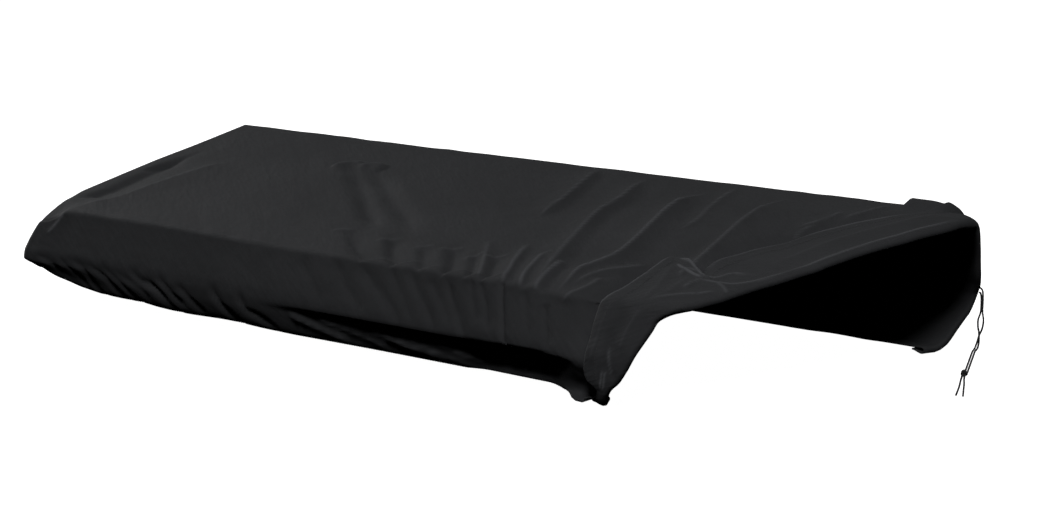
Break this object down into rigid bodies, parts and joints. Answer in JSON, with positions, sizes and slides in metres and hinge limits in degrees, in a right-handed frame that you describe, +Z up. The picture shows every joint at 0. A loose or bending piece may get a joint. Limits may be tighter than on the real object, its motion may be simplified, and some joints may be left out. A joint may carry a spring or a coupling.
{
  "type": "keyboard dust cover",
  "caption": "Fitted dust cover of black stretch cloth for an electronic keyboard, its right end turned back over itself, with a knotted drawcord hanging at the back.",
  "frame": {"origin": "on the underside of the cover's top, midway along it and midway across it, where the mount under_top is", "axes": "+X along the cover to the right, towards the turned-back end; +Y from front to back; +Z up"},
  "size_m": [1.2086, 0.4285, 0.1735],
  "materials": {
    "cloth": "matte stretch knit",
    "cord": "matte braided cord"
  },
  "bodies": {
    "root": {"cover": "cloth", "cord_strand_outer": "cord", "cord_strand_inner": "cord", "cord_knot": "cord", "cord_tail_left": "cord", "cord_tail_right": "cord"}
  },
  "joints": []
}
